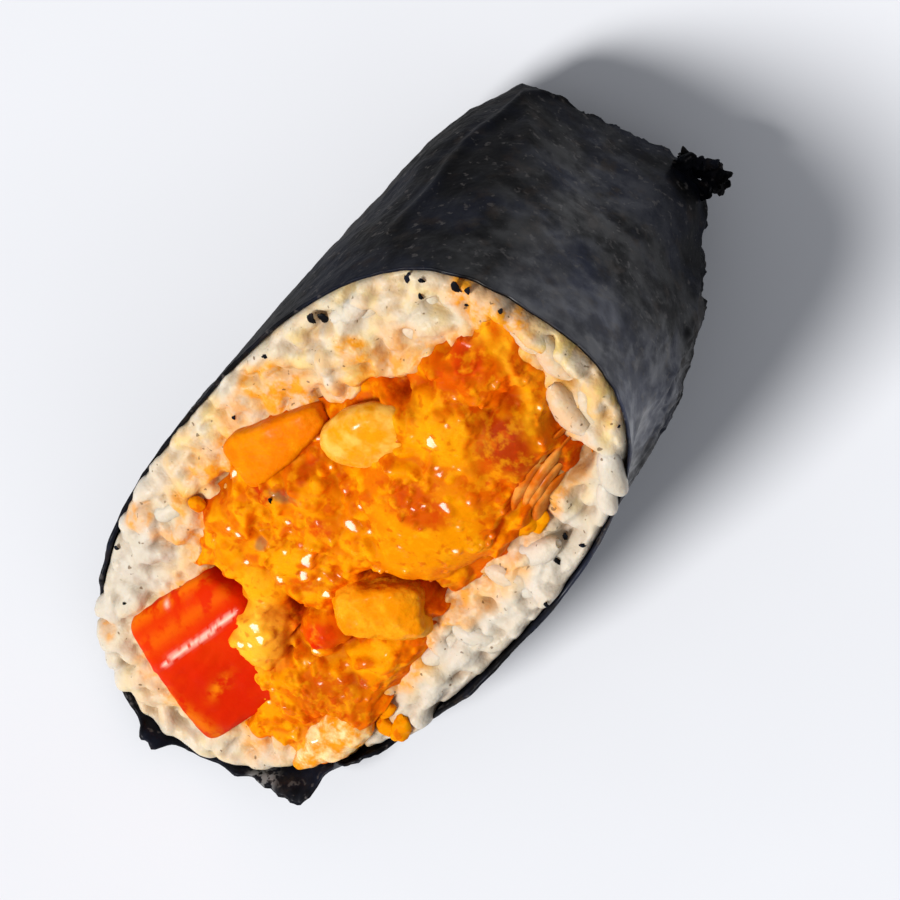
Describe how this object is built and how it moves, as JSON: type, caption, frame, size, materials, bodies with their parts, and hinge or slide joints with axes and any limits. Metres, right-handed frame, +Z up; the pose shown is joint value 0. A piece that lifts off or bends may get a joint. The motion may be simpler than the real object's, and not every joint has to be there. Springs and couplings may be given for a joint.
{
  "type": "cut half of an onigiri rice ball",
  "caption": "Half of a triangular rice ball in dark seaweed, lying on its slanted side, with a creamy salmon and crab filling standing out of the cut face.",
  "frame": {"origin": "on the flat patch that the half lies on, under the middle of the cut face's width", "axes": "+Z up; +Y from the apex end of the cut face towards the base corner, so the cut face looks up and towards -Y; X across the thickness"},
  "size_m": [0.0383, 0.0762, 0.0384],
  "materials": {
    "nori": "satin, finely fibrous",
    "rice": "moist, slightly translucent",
    "filling": "glossy cream",
    "crab": "wet gloss",
    "crab_leaf": "moist",
    "salmon": "moist"
  },
  "bodies": {
    "root": {"nori": "nori", "rice": "rice", "filling": "filling", "crab_stick": "crab", "crab_leaves": "crab_leaf", "salmon_wedge": "salmon", "salmon_round": "salmon", "salmon_block": "salmon", "salmon_tip": "salmon"}
  },
  "joints": []
}
